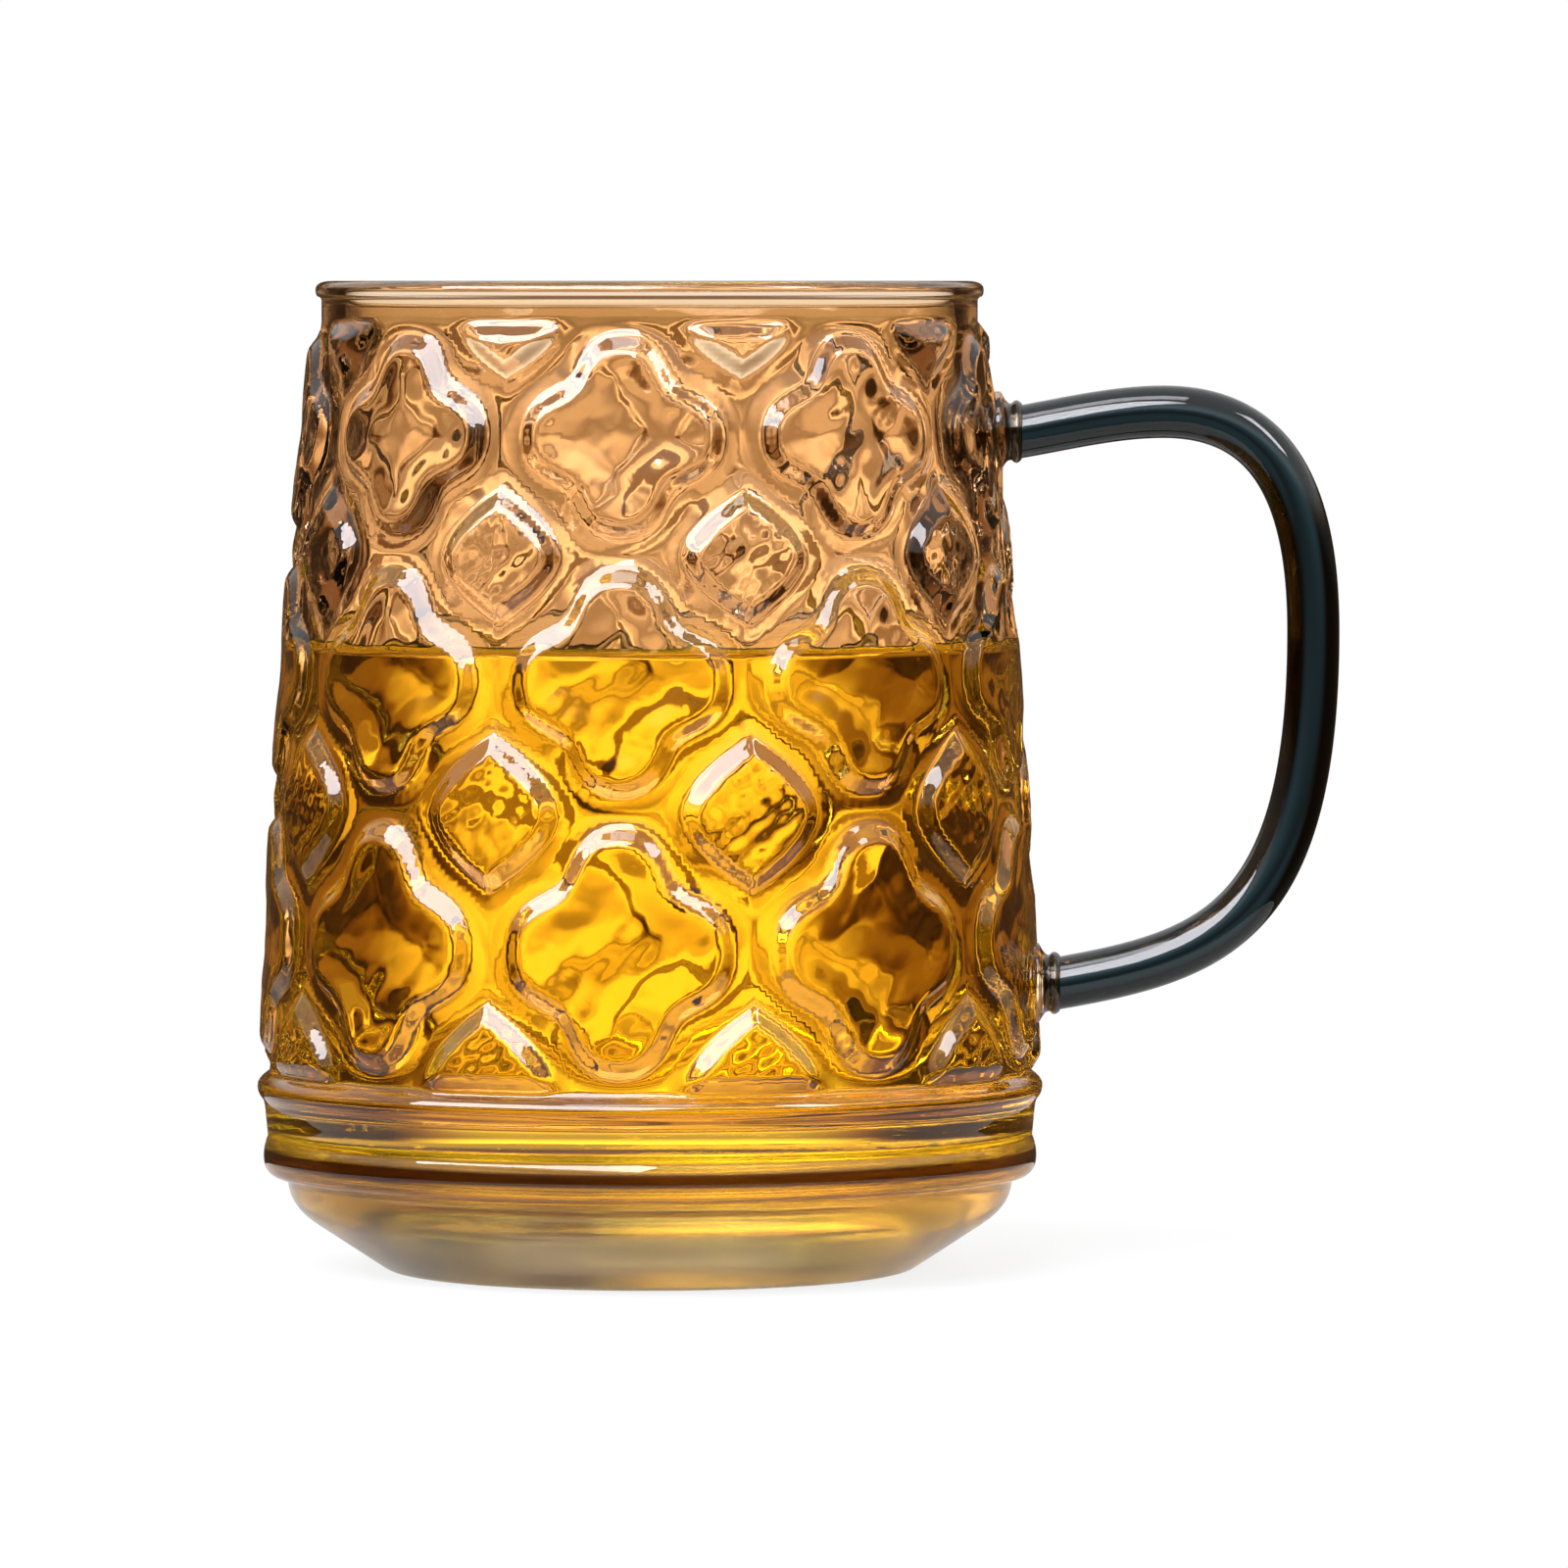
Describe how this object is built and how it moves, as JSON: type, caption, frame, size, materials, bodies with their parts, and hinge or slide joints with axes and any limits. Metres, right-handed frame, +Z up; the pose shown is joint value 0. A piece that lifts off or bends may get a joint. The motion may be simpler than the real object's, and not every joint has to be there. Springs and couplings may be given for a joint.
{
  "type": "glass mug",
  "caption": "Tapered amber glass mug with a quatrefoil lattice in relief on its wall, a stepped heavy base and a dark glass rod handle, for holding a drink.",
  "frame": {"origin": "centre of the foot, on the plane that the mug stands on", "axes": "+Z up along the mug's axis, +X towards the handle, -Y the front of the picture"},
  "size_m": [0.1259, 0.0914, 0.115],
  "materials": {
    "amber_glass": "clear fire-polished mould-blown glass, amber",
    "smoke_glass": "clear drawn glass rod, dark smoke blue",
    "weld_glass": "clear hot-worked glass, amber"
  },
  "bodies": {
    "root": {"mug_body": "amber_glass", "handle": "smoke_glass", "upper_weld_collar": "weld_glass", "lower_weld_collar": "weld_glass"}
  },
  "joints": []
}
